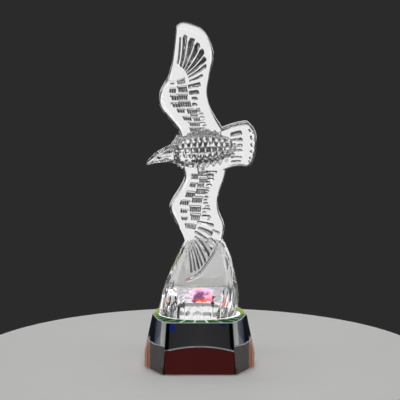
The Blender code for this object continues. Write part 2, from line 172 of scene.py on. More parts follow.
lowerWing = {
    "rows": (
        ((-6.2, 52.6), (1.5, 52.6), (9.6, 52.6)),
        ((-5.0, 47.6), (1.7, 47.3), (8.4, 47.1)),
        ((-6.5, 43.8), (1.3, 43.3), (7.2, 44.0)),
        ((-8.9, 40.0), (0.8, 39.5), (6.1, 40.1)),
        ((-10.1, 36.6), (0.4, 35.9), (6.4, 35.8)),
        ((-8.6, 32.8), (-0.2, 32.1), (8.4, 29.5)),
        ((-6.4, 29.5), (-1.2, 29.0), (6.1, 22.6)),
        ((-5.1, 26.4), (-2.0, 26.4), (3.0, 17.4)),
        ((-4.8, 24.2), (-2.9, 24.3), (-0.3, 13.5)),
        ((-4.8, 22.4), (-4.3, 20.2), (-4.7, 11.9)),
    ),
    "upwards": -1,
    "tipEdge": 0.95,
    "rimGroove": (5.8, 0.9625, 0.019, 0.0020),
    "slots": (
        (0.61, 0.08, 0.51, 0.76), (0.82, 0.12, 0.51, 0.69), (1.04, 0.09, 0.51, 0.7),
        (1.29, 0.1, 0.49, 0.6), (1.56, 0.12, 0.5, 0.66), (1.83, 0.08, 0.5, 0.62),
        (2.06, 0.11, 0.49, 0.6), (2.28, 0.09, 0.48, 0.58), (2.63, 0.11, 0.49, 0.6),
        (2.91, 0.09, 0.47, 0.59), (3.2, 0.11, 0.48, 0.6), (3.5, 0.08, 0.52, 0.66),
        (3.77, 0.12, 0.47, 0.66), (4.06, 0.1, 0.48, 0.58), (4.4, 0.13, 0.48, 0.68),
        (4.63, 0.08, 0.58, 0.67), (4.99, 0.13, 0.41, 0.76), (5.3, 0.07, 0.74, 0.94),
        (5.56, 0.16, 0.46, 0.8), (5.83, 0.08, 0.76, 0.95), (6.11, 0.17, 0.42, 0.95),
        (6.64, 0.16, 0.46, 0.95), (7.1, 0.14, 0.5, 0.95), (7.5, 0.13, 0.48, 0.95),
        (7.87, 0.15, 0.42, 0.95), (8.2, 0.1, 0.4, 0.94), (8.5, 0.12, 0.3, 0.94),
    ),
    "pits": (
        (0.35, 0.192, 0.28, 0.48), (0.66, 0.192, 0.3, 0.51), (0.92, 0.204, 0.14, 0.3),
        (1.16, 0.216, 0.32, 0.52), (1.52, 0.204, 0.28, 0.45), (1.58, 0.228, 0.14, 0.27),
        (2.08, 0.348, 0.3, 0.52), (2.42, 0.324, 0.12, 0.28), (2.88, 0.336, 0.26, 0.47),
        (3.22, 0.288, 0.11, 0.24), (3.76, 0.348, 0.25, 0.45), (4.04, 0.216, 0.14, 0.24),
        (4.53, 0.36, 0.28, 0.47), (4.78, 0.192, 0.14, 0.24), (5.59, 0.336, 0.18, 0.42),
    ),
}

carving = {
    # slots: depth for their half width, the depth where they stop, and where their deepest line lies,
    # from -1 at the lower side to 1 at the upper
    "slotSlope": 2.3,
    "slotDepth": 0.0062,
    "slotLow": -0.45,
    "skin": 0.0001,  # what a slot before the foot leaves of the wing, but it is at least so deep
    "leastDepth": 0.001,
    # the covert pits: a shallow bed crossed by grooves, which leave ribs between them
    "pitSlope": 2.3,
    "pitWalls": (0.35, 0.3),  # how wide a pit's lower and upper wall are, in half widths
    "pitTop": (0.2, 0.3),  # above this level the grooves join into one, over so much
    "pitLevels": (-1.0, -0.65, 0.2, 0.5, 0.7, 1.0),  # the levels in a pit that get a line of the mesh
    "pitSpan": (0.07, 0.55),  # where along the feathers the ribs lie, and how many
    "ribs": 15,
    "ribShare": 0.07,  # half of a rib's crest as a share of the rib spacing
    "backShare": 0.12,  # how deep the back's carving is, as a share of the front's
    "wall": 0.035,  # softness of a slot's ends along the feather
    "rim": 0.12,
    "trailRim": 0.09,
    "tipRim": 0.3,
    "tipEdgeRows": (5, 1.5),  # from which row the rim takes the tip's thickness, and over how many
    "leadSteps": 4,
    "trailSteps": 24,
    "widestCell": 0.12,  # in rows
}


def featherPoint(rows, place, chord):
    lead, middle, trail = (smoothBetween([row[side] for row in rows], place) for side in range(3))
    bend = casting["coverts"]
    weights = (
        (chord - bend) * (chord - 1) / bend,
        chord * (1 - chord) / (bend * (1 - bend)),
        chord * (chord - bend) / (1 - bend),
    )
    x, z = (sum(w * p for w, p in zip(weights, point)) for point in zip(lead, middle, trail))
    return x * unit, z * unit


def wingHalf(wing, place, chord):
    ends = len(wing["rows"]) - 1
    full = casting["wingThickness"] * mix(*casting["chordShares"], chord)
    full *= mix(*casting["spanShares"], place / ends)
    edge = min(1.0, chord / carving["rim"], (1 - chord) / carving["trailRim"])
    edge = min(edge, (ends - place) / carving["tipRim"])
    fromRow, rowsLong = carving["tipEdgeRows"]
    share = mix(casting["edgeShare"], wing["tipEdge"], ease((place - fromRow) / rowsLong))
    return 0.5 * full * mix(share, 1, edge * (2 - edge)), 0.5 * full


def rowPitch(rows, place, chord):
    step = 0.02  # in rows
    x, z = featherPoint(rows, place, chord)
    nextX, nextZ = featherPoint(rows, place + step, chord)
    return math.hypot(nextX - x, nextZ - z) / step


def featherLength(rows, place):
    return math.dist(featherPoint(rows, place, 0), featherPoint(rows, place, 1))


def acrossSlot(upward):
    low = carving["slotLow"]
    return max(0.0, min((1 - upward) / (1 - low), (1 + upward) / (1 + low)))


def wingCut(wing, place, chord, room):
    cut = 0.0
    pitch = rowPitch(wing["rows"], place, chord)
    for row, half, start, end in wing["slots"]:
        across = acrossSlot((place - row) / half * wing["upwards"])
        if across > 0:
            deepest = min(room, carving["slotSlope"] * half * pitch)
            cut = max(cut, deepest * across * window(chord, start, end, carving["wall"]))
    lowWall, highWall = carving["pitWalls"]
    joinFrom, joinOver = carving["pitTop"]
    first, last = carving["pitSpan"]
    rib = (chord - first) / (last - first) * carving["ribs"] % 1
    groove = max(0.0, 1 - abs(rib - 0.5) / (0.5 - carving["ribShare"]))
    ribPitch = (last - first) / carving["ribs"] * featherLength(wing["rows"], place)
    for row, half, start, end in wing["pits"]:
        upward = (place - row) / half * wing["upwards"]
        if abs(upward) < 1 and start < chord < end:
            bed = min(1.0, (1 + upward) / lowWall, (1 - upward) / highWall)
            top = ease((upward - joinFrom) / joinOver)
            cut = max(cut, carving["pitSlope"] * ribPitch / 2 * bed * max(groove, top))
    fromRow, middle, half, deep = wing["rimGroove"]
    if place > fromRow:
        cut = max(cut, deep * (1 - abs(chord - middle) / half))
    return cut


foot = {
    "width": 0.0790,
    "depth": 0.0530,
    "flutes": 26,
    "fluteDepth": 0.0011,
    # the flutes fade out between these shares of its height, in front and at the sides
    "frontFade": (0.07, 0.17),
    "sideFade": (0.10, 0.60),
    "sideFrom": (0.4, 0.4),  # where the front gives way to the side, as cosines: from, and over how much
    "frontReach": 0.95,  # how far out the foot's front is taken to reach, in half widths
    "sidesAFlute": 8,
    "rings": 44,
    # height, sideways shift, and half width and half depth as shares of those at the bottom
    "rows": (
        (0.0, -0.4, 0.99, 1.00), (2.2, -0.3, 1.00, 0.88), (5.7, 0.2, 0.98, 0.67), (9.6, 0.5, 0.93, 0.45),
        (14.5, 0.9, 0.82, 0.37), (19.4, 1.4, 0.70, 0.32), (22.4, 1.6, 0.60, 0.27), (24.4, 1.6, 0.53, 0.20),
        (26.0, 1.5, 0.47, 0.12),
    ),
}


def footSection(height):
    share = height / unit
    rows = foot["rows"]
    index = 0
    while index < len(rows) - 2 and rows[index + 1][0] < share:
        index += 1
    low, high = rows[index], rows[index + 1]
    place = index + max(0.0, min(1.0, (share - low[0]) / (high[0] - low[0])))
    shift, wide, deep = smoothBetween([row[1:] for row in rows], place)
    return shift * unit, wide * foot["width"] / 2, deep * foot["depth"] / 2


def footFront(x, z):
    if z > foot["rows"][-1][0] * unit:
        return 0.0
    shift, wide, deep = footSection(z)
    widest = foot["frontReach"]
    across = max(-widest, min(widest, (x - shift) / wide))
    return deep * math.sqrt(1 - across * across)


def leanBack(x, z, half):
    start = casting["leanFrom"]
    return casting["tipLean"] * ease((z / casting["height"] - start) / (1 - start))


def leanOnFoot(x, z, half):
    proud = footFront(x, z) + casting["fanProud"] - half
    return -max(0.0, proud) * ease((casting["fanFrom"] - z / casting["height"]) / casting["fanBlend"])


def fillPlaces(places, widest):
    places.sort()
    filled = [places[0]]
    for place in places[1:]:
        gap = place - filled[-1]
        if gap < casting["finestCell"]:
            continue
        steps = math.ceil(gap / widest)
        start = filled[-1]
        filled += [start + gap * (step + 1) / steps for step in range(steps)]
    return filled


def wingPlaces(wing):
    places = [0.0, len(wing["rows"]) - 1.0]
    for row, half in (slot[:2] for slot in wing["slots"]):
        places += [row - half, row + half * carving["slotLow"] * wing["upwards"], row + half]
    for row, half in (pit[:2] for pit in wing["pits"]):
        places += [row + half * level for level in carving["pitLevels"]]
    return fillPlaces(places, carving["widestCell"])


def wingChords():
    first, last = carving["pitSpan"]
    share = carving["ribShare"]
    chords = [first * step / carving["leadSteps"] for step in range(carving["leadSteps"])]
    for rib in range(carving["ribs"]):
        chords += [mix(first, last, (rib + part) / carving["ribs"]) for part in (share, 0.5, 1 - share)]
    steps = carving["trailSteps"]
    return chords + [mix(last, 1.0, step / steps) for step in range(steps + 1)]


def makeWing(name, wing, lean):
    rows = wing["rows"]
    places = wingPlaces(wing)
    chords = wingChords()
    bm = slab(len(places) - 1, len(chords) - 1)
    for vert in bm.verts:
        place = places[round(vert.co.x)]
        chord = chords[round(vert.co.y)]
        front = vert.co.z > 0.5
        x, z = featherPoint(rows, place, chord)
        half, fullHalf = wingHalf(wing, place, chord)
        middle = lean(x, z, fullHalf)
        behind = footFront(x, z)
        room = carving["slotDepth"]
        if behind:  # the foot closes the slots from behind
            room = min(room, max(half - middle - behind - carving["skin"], carving["leastDepth"]))
        cut = wingCut(wing, place, chord, room)
        depth = middle - half + cut if front else middle + half - carving["backShare"] * cut
        vert.co = Vector((x, depth, z + casting["underside"]))
    print("stage:", name, len(bm.faces), "faces")
    return newObject(name, bm)


tail = {
    "rows": (
        ((7.2, 64.0), (12.3, 65.8), (16.8, 66.4)),
        ((7.2, 60.6), (12.6, 61.4), (18.9, 62.3)),
        ((7.2, 57.1), (12.6, 57.7), (19.2, 57.5)),
        ((7.2, 53.7), (12.6, 54.0), (18.1, 53.1)),
        ((7.9, 49.9), (12.3, 51.3), (16.6, 50.6)),
    ),
    "thickness": 0.0110,
    "rootShare": 1.5,
    "widestCell": 0.08,
    "steps": 48,
    "backShare": 0.12,
    # each slot's row and half width in rows, where they start and end along the feathers, and slope
    "slots": ((0.71, 0.16), (1.24, 0.18), (1.76, 0.15), (2.2, 0.1), (2.81, 0.11), (3.24, 0.11)),
    "slotSpan": (0.26, 0.61),
    "slotSlope": 2.2,
    # each dimple's row, half height in rows, and where they lie along the feathers
    "dimples": ((0.66, 0.12), (1.19, 0.24), (1.76, 0.2), (2.27, 0.14), (2.78, 0.12), (3.13, 0.1)),
    "dimplePlace": 0.865,
    "dimpleReach": 0.045,
    "dimpleDepth": 0.0026,
    "dimpleLevels": (-1.0, -0.6, 0.0, 0.6, 1.0),  # the levels in a dimple that get a line of the mesh
    "wall": 0.05,  # softness of a slot's ends
    "corner": (0.8, 0.14),  # the rounded corners: how many rows they take, and how much of the feathers
    "rim": 0.20,  # how wide the thinner rim is at the feathers' ends, and at the sides in rows
    "sideRim": 0.40,
}


def makeTail(name):
    ends = len(tail["rows"]) - 1
    places = [0.0, float(ends)]
    for row, reach in tail["slots"]:
        places += [row - reach, row - reach * carving["slotLow"], row + reach]
    for row, reach in tail["dimples"]:
        places += [row + reach * level for level in tail["dimpleLevels"]]
    places = fillPlaces(places, tail["widestCell"])
    bm = slab(len(places) - 1, tail["steps"])
    for vert in bm.verts:
        place = places[round(vert.co.x)]
        chord = vert.co.y / tail["steps"]
        front = vert.co.z > 0.5
        side = min(place, ends - place)
        corner = max(0.0, 1 - side / tail["corner"][0])
        x, z = featherPoint(tail["rows"], place, chord * (1 - tail["corner"][1] * corner * corner))
        edge = min(1.0, (1 - chord) / tail["rim"], side / tail["sideRim"])
        full = tail["thickness"] * mix(tail["rootShare"], 1, chord)
        half = 0.5 * full * mix(casting["edgeShare"], 1, edge * (2 - edge))
        cut = 0.0
        pitch = rowPitch(tail["rows"], place, chord)
        for row, reach in tail["slots"]:
            deepest = tail["slotSlope"] * reach * pitch * window(chord, *tail["slotSpan"], tail["wall"])
            cut = max(cut, deepest * acrossSlot((row - place) / reach))
        for row, reach in tail["dimples"]:
            away = math.hypot((place - row) / reach, (chord - tail["dimplePlace"]) / tail["dimpleReach"])
            cut = max(cut, tail["dimpleDepth"] * (1 - away))
        depth = cut - half if front else half - tail["backShare"] * cut
        vert.co = Vector((x, depth, z + casting["underside"]))
    return newObject(name, bm)


body = {
    "centre": (1.9, 57.0),
    "length": 24.0,
    "height": 13.2,
    "thickness": 0.0300,
    "rings": 160,
    "sides": 210,
    # the body's short feathers: how many rows and how many in a row, height, and its share on the back
    "scaleRows": 12,
    "scalesARow": 19,
    "scaleHeight": 0.0058,
    "scaleTop": 0.18,  # the reach of their flat tops, in half spacings
    "scalePeak": 0.45,  # how far above the middle of each its top lies, in half spacings
    "scaleStray": 0.34,  # how far its top strays to either side
    "scaleReach": 0.8,  # how far it reaches, in half spacings
    "scaleUneven": 0.2,  # how much the heights differ
    "endFade": 2.2,  # how quickly the scales rise from nothing at the body's ends
    "sideFade": (0.8, 2.0),  # and fall off from the front to the back
    "backShare": 0.10,
    "taper": 0.12,  # how much narrower the tail end is than the middle
    "tilt": 0.05,  # how much the body rises towards the tail
}


def makeBody(name):
    bm = bmesh.new()
    bmesh.ops.create_uvsphere(bm, u_segments=body["sides"], v_segments=body["rings"], radius=1)
    for vert in bm.verts:
        along = math.acos(max(-1.0, min(1.0, vert.co.z)))
        angle = math.atan2(vert.co.y, vert.co.x)
        length = math.cos(along)
        turn = angle / (2 * math.pi) * body["scalesARow"]
        row = (1 + length) / 2 * body["scaleRows"] + 0.5 * (math.floor(turn) % 2)
        upward = 2 * (turn % 1) - 1 - body["scalePeak"]
        upward /= 1 - body["scalePeak"] if upward > 0 else 1 + body["scalePeak"]
        chance = math.sin(37.1 * int(row) + 91.7 * math.floor(turn))  # any two numbers do
        away = math.hypot(2 * (row % 1) - 1 - body["scaleStray"] * chance, upward)
        slope = body["scaleReach"] - max(body["scaleTop"], away)
        uneven = 1 + body["scaleUneven"] * chance
        level, fall = body["sideFade"]
        share = mix(body["backShare"], 1.0, ease(level - fall * math.sin(angle)))
        bump = body["scaleHeight"] * slope * uneven * ease(math.sin(along) * body["endFade"]) * share
        width = math.sin(along) * (1 - body["taper"] * length)
        high = (body["height"] / 2 * unit + bump) * width * math.cos(angle)
        depth = (body["thickness"] / 2 + bump) * width * math.sin(angle)
        x = body["length"] / 2 * unit * length
        z = body["centre"][1] * unit + high + body["tilt"] * x + casting["underside"]
        vert.co = Vector((x + body["centre"][0] * unit, depth, z))
    return newObject(name, bm)


head = {
    # from the neck to the tip of the beak: x, top z, bottom z, thickness
    "rows": (
        (-1.0, 61.5, 50.0, 9.0), (-3.2, 60.9, 49.9, 8.8), (-5.9, 60.4, 50.6, 8.1),
        (-8.6, 59.0, 52.0, 6.4), (-11.3, 57.6, 52.4, 5.1), (-14.0, 56.2, 52.2, 3.7),
        (-15.7, 54.8, 51.8, 2.5), (-17.0, 53.5, 51.5, 1.5), (-17.8, 52.3, 51.4, 0.8),
    ),
    "rings": 64,
    "sides": 48,
    "roundEnds": 0.04,  # the share of its length over which each end closes
    # hollows: x, level between top (1) and bottom (-1), reach along, reach across, depth share, slope
    "hollows": (
        (-11.4, 0.42, 2.0, 0.20, 0.70, 0.05),  # eye under the brow
        (-13.2, -0.36, 2.8, 0.12, 0.50, 0.04),  # mouth
        (-14.6, 0.10, 0.7, 0.16, 0.42, 0.0),  # nostril
        (-8.4, -0.10, 1.0, 0.5, 0.16, 0.1),  # cheek
    ),
}


def makeHead(name):
    bm = bmesh.new()
    bmesh.ops.create_uvsphere(bm, u_segments=head["sides"], v_segments=head["rings"], radius=1)
    rows = head["rows"]
    for vert in bm.verts:
        along = math.acos(max(-1.0, min(1.0, vert.co.z))) / math.pi
        around = math.atan2(vert.co.y, vert.co.x)
        x, top, bottom, thick = smoothBetween(rows, along * (len(rows) - 1))
        fromEnd = min(along, 1 - along)
        closing = min(1.0, math.sqrt(fromEnd / head["roundEnds"]))
        level = math.cos(around)
        share = 1.0
        for middle, middleLevel, reach, reachAcross, depth, slope in head["hollows"]:
            off = (x - middle) / reach
            offAcross = (level - middleLevel - slope * (x - middle)) / reachAcross
            share -= depth * math.exp(-off * off - offAcross * offAcross)
        high = (top + bottom) / 2 + (top - bottom) / 2 * level * closing
        depth = thick / 2 * math.sin(around) * closing * share
        vert.co = Vector((x, depth, high)) * unit + Vector((0, 0, casting["underside"]))
    bmesh.ops.remove_doubles(bm, verts=bm.verts, dist=1e-6)
    return newObject(name, bm)


def makeFoot(name):
    bm = bmesh.new()
    sides = foot["flutes"] * foot["sidesAFlute"]
    bmesh.ops.create_cone(bm, cap_ends=True, segments=sides, radius1=1, radius2=1, depth=1)
    uprights = [edge for edge in bm.edges if abs(edge.verts[0].co.z - edge.verts[1].co.z) > 0.5]
    bmesh.ops.subdivide_edges(bm, edges=uprights, cuts=foot["rings"] - 1)
    top = foot["rows"][-1][0] * unit
    for vert in bm.verts:
        height = (vert.co.z + 0.5) * top
        angle = math.atan2(vert.co.y, vert.co.x)
        shift, wide, deep = footSection(height)
        aside = ease((abs(math.cos(angle)) - foot["sideFrom"][0]) / foot["sideFrom"][1])
        start, end = (mix(low, high, aside) for low, high in zip(foot["frontFade"], foot["sideFade"]))
        fade = ease((end - height / top) / (end - start))
        press = foot["fluteDepth"] * fade * (1 - abs(math.sin(angle * foot["flutes"] / 2)))
        x = shift + (wide - press) * math.cos(angle)
        vert.co = Vector((x, (deep - press) * math.sin(angle), height + casting["underside"]))
    return newObject(name, bm)


def joinSolids(whole, parts):
    for part in parts:
        union = whole.modifiers.new(part.name, "BOOLEAN")
        union.operation = "UNION"
        union.solver = "MANIFOLD"
        union.object = part
    bpy.context.view_layer.update()
    joined = bpy.data.meshes.new_from_object(whole.evaluated_get(bpy.context.evaluated_depsgraph_get()))
    whole.modifiers.clear()
    old = whole.data
    whole.data = joined
    bpy.data.meshes.remove(old)
    for part in parts:
        bpy.data.meshes.remove(part.data)
    return whole


eagleParts = [
    makeWing("upperWingShape", upperWing, leanBack),
    makeWing("lowerWingShape", lowerWing, leanOnFoot),
    makeTail("tailShape"),
    makeHead("headShape"),
    makeFoot("footShape"),
]
eaglePiece = joinSolids(makeBody("crystalEagle"), eagleParts)
eaglePiece.data.shade_smooth()
eaglePiece.data.set_sharp_from_angle(angle=math.radians(casting["smoothAngle"]))
print("stage: casting", sum(len(polygon.vertices) - 2 for polygon in eaglePiece.data.polygons), "triangles")


# Finishes

crystal = {
    "ior": 1.54,  # of all three pieces
    "roughness": 0.01,
    "waves": 0.00625,  # from one wave of the fire-polished skin to the next, and their depth and strength
    "waveDepth": 0.0005,
    "waveStrength": 0.15,
    "spotFade": 0.625,  # the share of its reach over which a coloured spot fades out
    "cutRoughness": 0.05,  # of the two blocks' cut faces
}

colourMix = {"data_type": "RGBA"}  # a Mix node's inputs 6 and 7 and its output 2 are then its colours


def coloursAcross(tree, across, stops):
    # the colours one after another, from the first one's place to the last one's
    span = stops[-1][0]
    share = addNode(tree, "ShaderNodeMath", {"operation": "DIVIDE"}, {0: across, 1: span}).outputs[0]
    ramp = addNode(tree, "ShaderNodeValToRGB", None, {"Fac": share})
    elements = ramp.color_ramp.elements
    while len(elements) < len(stops):
        elements.new(0.5)
    for element, (place, colour) in zip(elements, stops):
        element.position = place / span
        element.color = hexColour(colour)
    return ramp.outputs["Color"]


def awayFrom(tree, place, spot):
    # 0 at a spot's middle and 1 at its reach, which are the first figures in its row
    fit = {"Vector": place, "Location": (spot[0], spot[1], 0), "Scale": (spot[2], spot[3], 1)}
    inSpot = addNode(tree, "ShaderNodeMapping", {"vector_type": "TEXTURE"}, fit).outputs[0]
    return addNode(tree, "ShaderNodeVectorMath", {"operation": "LENGTH"}, {0: inSpot}).outputs["Value"]


def addSpots(tree, colour, place, spots):
    for spot in spots:
        fade = {"Value": awayFrom(tree, place, spot), "From Min": 1.0, "From Max": 1 - crystal["spotFade"]}
        share = addNode(tree, "ShaderNodeMapRange", None, fade).outputs[0]
        look = {0: share, 6: colour, 7: hexColour(spot[4])}
        colour = addNode(tree, "ShaderNodeMix", colourMix, look).outputs[2]
    return colour


def makeClearCrystal():
    # lead crystal, pressed in a mould and fire polished: clear, very bright edges, slightly wavy skin
    material, tree, shader = newMaterial("clearLeadCrystal")
    shader.inputs["Base Color"].default_value = (1, 1, 1, 1)
    shader.inputs["Roughness"].default_value = crystal["roughness"]
    shader.inputs["IOR"].default_value = crystal["ior"]
    shader.inputs["Transmission Weight"].default_value = 1.0
    coords = addNode(tree, "ShaderNodeTexCoord").outputs["Object"]
    look = {"Vector": coords, "Scale": 1 / crystal["waves"], "Detail": 1}
    waves = addNode(tree, "ShaderNodeTexNoise", None, look).outputs["Fac"]
    look = {"Height": waves, "Strength": crystal["waveStrength"], "Distance": crystal["waveDepth"]}
    bump = addNode(tree, "ShaderNodeBump", None, look)
    tree.links.new(bump.outputs["Normal"], shader.inputs["Normal"])
    return material


upperBlock = {
    "panelHalfTop": 0.0330,  # half the front panel's width at the top and at the underside of the base
    "panelHalfFoot": 0.0365,
    "height": 0.0530,
    # across the block, in half widths of the panel: panel, black bar of painted shade, corner facet painted
    # pale grey as a painted reflection, navy end
    "bandsWithPaintedLight": (
        (0.00, "#505055"), (0.87, "#46464A"), (0.90, "#050506"), (1.00, "#050506"), (1.02, "#C4C8CC"),
        (1.12, "#E2E4E6"), (1.16, "#7A7E86"), (1.28, "#5C626C"), (1.33, "#10182E"), (1.45, "#0A1024"),
    ),
    # the coat on top, by the distance from the foot's middle in its half widths: under it, pale partly from
    # the coat and partly as painted light, its rim, a painted white highlight, and bare
    "coat": ((0.0, "#DCDADC"), (0.88, "#DAD8DE"), (0.96, "#F8FAFA"), (1.03, "#F8FAFA"), (1.05, "#2C9038")),
    "bareFrom": 1.04,
    "underTo": 0.96,
    "coatFront": "#2C9038",
    # the colour of the painted pale rays of light round the foot
    "paintedRayColour": "#F4F8F4",
    "coatBack": ((0.0, "#F2F6EE"), (0.0360, "#F2F6EE"), (0.0375, "#C8E000"), (0.0480, "#D8EC00")),
    "coatTurn": (-0.008, 0.004),  # where the front's green turns into the back's colours
    "coatMetal": 0.75,
    "coatRoughness": 0.35,
    "topFrom": 0.95,  # faces that look up at least so much are the coated top
    "raysWide": 0.20,
    "shards": 0.0026316,  # the size of the bits that the colours break up into under the foot, and how far
    "shardShift": 0.0035,
    "glow": 0.8,  # painted glow of the flares under the foot: emitted light in place of the light the crystal gathers there
    "glowSides": (0.0200, 0.0260),  # and of the coat beside them, fully so from here outwards
    "glowMiddle": 0.5,
    # the coloured flare that shows in the foot, painted on the coat under it and made to glow as painted
    # light: its middle, its reach and its colours outwards
    "flare": (0.0030, 0.027, 0.0100, 0.0200),
    "flareRings": (
        (0.0, "#F4502A"), (0.24, "#F08030"), (0.34, "#8A4060"), (0.52, "#805888"), (0.62, "#F6A8CC"),
        (0.84, "#F2CCEC"), (1.0, "#ECE4F0"),
    ),
    # smaller painted flares of light beside it: middle, reach, colour
    "flares": (
        (0.0005, 0.0075, 0.0034, 0.0028, "#F6D030"), (-0.0262, 0.020, 0.0034, 0.010, "#F07820"),
        (-0.0195, 0.020, 0.0026, 0.009, "#F4A070"), (0.0205, 0.020, 0.0040, 0.010, "#F06A28"),
        (0.0300, 0.020, 0.0026, 0.010, "#F2E040"), (0.0075, 0.023, 0.0016, 0.006, "#F46A50"),
    ),
    # painted blue gleams (painted reflections) on the front panel: middle x and z, reach, colour
    "paintedGleams": ((-0.0270, 0.0480, 0.0040, 0.0060, "#1A3CA8"), (0.0240, 0.0510, 0.0050, 0.0025, "#1C3470")),
}


def makeSides(tree, place):
    # the sides' colours, with painted shade in the black bars, painted reflections on the corner facets and
    # painted blue gleams
    narrowing = (upperBlock["panelHalfTop"] - upperBlock["panelHalfFoot"]) / upperBlock["height"]
    line = {0: place["Z"], 1: narrowing, 2: upperBlock["panelHalfFoot"]}
    half = addNode(tree, "ShaderNodeMath", {"operation": "MULTIPLY_ADD"}, line).outputs[0]
    across = addNode(tree, "ShaderNodeMath", {"operation": "ABSOLUTE"}, {0: place["X"]}).outputs[0]
    across = addNode(tree, "ShaderNodeMath", {"operation": "DIVIDE"}, {0: across, 1: half}).outputs[0]
    upright = addNode(tree, "ShaderNodeCombineXYZ", None, {"X": place["X"], "Y": place["Z"]}).outputs[0]
    return addSpots(tree, coloursAcross(tree, across, upperBlock["bandsWithPaintedLight"]), upright, upperBlock["paintedGleams"])


def makeBareCoat(tree, place):
    across = addNode(tree, "ShaderNodeMath", {"operation": "ABSOLUTE"}, {0: place["X"]}).outputs[0]
    start, end = upperBlock["coatTurn"]
    turn = {"Value": place["Y"], "From Min": start, "From Max": end}
    share = addNode(tree, "ShaderNodeMapRange", None, turn).outputs[0]
    look = {0: share, 6: hexColour(upperBlock["coatFront"])}
    look[7] = coloursAcross(tree, across, upperBlock["coatBack"])
    bare = addNode(tree, "ShaderNodeMix", colourMix, look).outputs[2]

    # a painted pale ray of light for each flute of the foot, round its oval
    rounder = {0: place["Y"], 1: foot["width"] / foot["depth"]}
    rounder = addNode(tree, "ShaderNodeMath", {"operation": "MULTIPLY"}, rounder).outputs[0]
    angle = addNode(tree, "ShaderNodeMath", {"operation": "ARCTAN2"}, {0: rounder, 1: place["X"]}).outputs[0]
    turns = {0: angle, 1: foot["flutes"] / (2 * math.pi)}
    turns = addNode(tree, "ShaderNodeMath", {"operation": "MULTIPLY"}, turns).outputs[0]
    rays = addNode(tree, "ShaderNodeMath", {"operation": "FRACT"}, {0: turns}).outputs[0]
    rays = {0: rays, 1: upperBlock["raysWide"]}
    rays = addNode(tree, "ShaderNodeMath", {"operation": "LESS_THAN"}, rays).outputs[0]
    look = {0: rays, 6: bare, 7: hexColour(upperBlock["paintedRayColour"])}
    return addNode(tree, "ShaderNodeMix", colourMix, look).outputs[2]


def makeFlares(tree, coords, onTop, away, coat):
    # the colours break up into shards, as seen through the flutes
    look = {"Vector": coords, "Scale": 1 / upperBlock["shards"]}
    shards = addNode(tree, "ShaderNodeTexVoronoi", None, look).outputs["Color"]
    shift = {0: shards, 1: (upperBlock["shardShift"], upperBlock["shardShift"], 0), 2: onTop}
    broken = addNode(tree, "ShaderNodeVectorMath", {"operation": "MULTIPLY_ADD"}, shift).outputs[0]
    reach = awayFrom(tree, broken, upperBlock["flare"])
    under = {0: away, 1: upperBlock["underTo"]}
    under = addNode(tree, "ShaderNodeMath", {"operation": "LESS_THAN"}, under).outputs[0]
    within = addNode(tree, "ShaderNodeMath", {"operation": "LESS_THAN"}, {0: reach, 1: 1.0}).outputs[0]
    under = addNode(tree, "ShaderNodeMath", {"operation": "MULTIPLY"}, {0: under, 1: within}).outputs[0]
    look = {0: under, 6: coat, 7: coloursAcross(tree, reach, upperBlock["flareRings"])}
    colour = addNode(tree, "ShaderNodeMix", colourMix, look).outputs[2]
    return under, addSpots(tree, colour, broken, upperBlock["flares"])


def makePaintedGlow(tree, place, covered, under):
    # a painted glow: the coat under the foot emits light, in place of the light that the foot gathers on it
    aside = addNode(tree, "ShaderNodeMath", {"operation": "ABSOLUTE"}, {0: place["X"]}).outputs[0]
    start, end = upperBlock["glowSides"]
    rise = {"Value": aside, "From Min": start, "From Max": end}
    share = addNode(tree, "ShaderNodeMapRange", None, rise).outputs[0]
    share = {0: share, 1: upperBlock["glowMiddle"]}
    share = addNode(tree, "ShaderNodeMath", {"operation": "MAXIMUM"}, share).outputs[0]
    share = addNode(tree, "ShaderNodeMath", {"operation": "MAXIMUM"}, {0: share, 1: under}).outputs[0]
    glow = {0: covered, 1: upperBlock["glow"]}
    glow = addNode(tree, "ShaderNodeMath", {"operation": "MULTIPLY"}, glow).outputs[0]
    return addNode(tree, "ShaderNodeMath", {"operation": "MULTIPLY"}, {0: glow, 1: share}).outputs[0]


